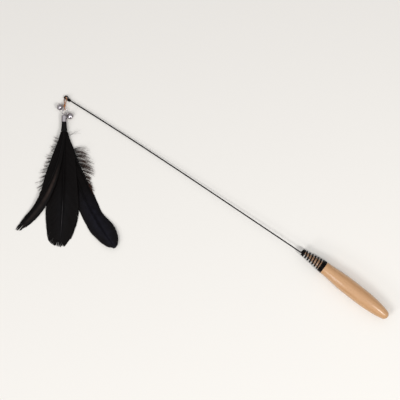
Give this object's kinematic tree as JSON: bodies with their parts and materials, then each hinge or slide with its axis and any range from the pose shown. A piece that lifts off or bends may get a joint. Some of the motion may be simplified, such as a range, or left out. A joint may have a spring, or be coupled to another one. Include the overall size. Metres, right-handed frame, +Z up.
{
  "type": "cat teaser wand",
  "caption": "Cat teaser wand: turned wooden handle, coiled black spring wire, and a feather tassel with jingle bells hung from the wire's eye.",
  "frame": {"origin": "centre of the grip, on the handle's axis", "axes": "+X along the handle towards the wire's tip, +Z up from the surface that the wand lies on"},
  "size_m": [0.488, 0.2041, 0.0203],
  "materials": {
    "beech": "satin lacquer",
    "black_wire": "black, satin",
    "amber_thread": "twisted, waxed",
    "nickel": "polished plate",
    "glue": "cured",
    "black_sleeve": "shrunk, matt",
    "black_feather": "dyed, silky",
    "dark_down": "fluffy",
    "steel": "plain"
  },
  "bodies": {
    "handle": {"wooden_handle": "beech", "spring_coil": "black_wire"},
    "wire_root": {"wire_root": "black_wire"},
    "wire": {"wire_shaft": "black_wire", "tip_eye": "black_wire"},
    "hanger": {"hanger_thread": "amber_thread"},
    "ring": {"jump_ring": "nickel"},
    "tassel": {"end_cap": "nickel", "cap_loop": "nickel", "glue_plug": "glue", "quill_sleeve": "black_sleeve", "feather_left": "black_feather", "feather_centre": "black_feather", "feather_right": "black_feather", "down_left": "dark_down", "down_right": "dark_down"},
    "bell_left": {"bell_left_crown": "nickel", "bell_left_bowl": "nickel", "bell_left_shank": "nickel"},
    "bell_right": {"bell_right_crown": "nickel", "bell_right_bowl": "nickel", "bell_right_shank": "nickel"},
    "pellet_left": {"bell_left_pellet": "steel"},
    "pellet_right": {"bell_right_pellet": "steel"}
  },
  "joints": [
    {"name": "wire_flex_side", "type": "hinge", "parent": "handle", "child": "wire_root", "pos_m": [0.08382, 0.0029, -0.0034], "axis": [0, 0, 1], "range_deg": [-25, 25], "stiffness_Nm_per_rad": 0.5},
    {"name": "wire_flex_up", "type": "hinge", "parent": "wire_root", "child": "wire", "pos_m": [0.14367, 0.00708, -0.00466], "axis": [-0.0698, 0.9976, 0], "range_deg": [-25, 25], "stiffness_Nm_per_rad": 0.5},
    {"name": "lure_swing", "type": "hinge", "parent": "wire", "child": "hanger", "pos_m": [0.43237, 0.03053, -0.008], "axis": [0, 0, 1], "range_deg": [-140, 5]},
    {"name": "lure_lift", "type": "hinge", "parent": "hanger", "child": "ring", "pos_m": [0.42442, 0.04253, -0.00615], "axis": [-0.7891, -0.6143, 0], "range_deg": [-60, 60]},
    {"name": "tassel_swing", "type": "hinge", "parent": "ring", "child": "tassel", "pos_m": [0.42224, 0.04533, -0.00615], "axis": [0, 0, 1], "range_deg": [-25, 0]},
    {"name": "bell_left_swing", "type": "hinge", "parent": "ring", "child": "bell_left", "pos_m": [0.42577, 0.045, -0.00615], "axis": [0.0941, 0.9956, 0], "range_deg": [-30, 30]},
    {"name": "bell_right_swing", "type": "hinge", "parent": "ring", "child": "bell_right", "pos_m": [0.41869, 0.04534, -0.00615], "axis": [-0.0017, -1, 0], "range_deg": [-30, 30]},
    {"name": "pellet_left_rattle", "type": "slide", "parent": "bell_left", "child": "pellet_left", "axis": [0, 0, 1], "range_m": [0, 0.0045]},
    {"name": "pellet_right_rattle", "type": "slide", "parent": "bell_right", "child": "pellet_right", "axis": [0, 0, 1], "range_m": [0, 0.0045]}
  ]
}
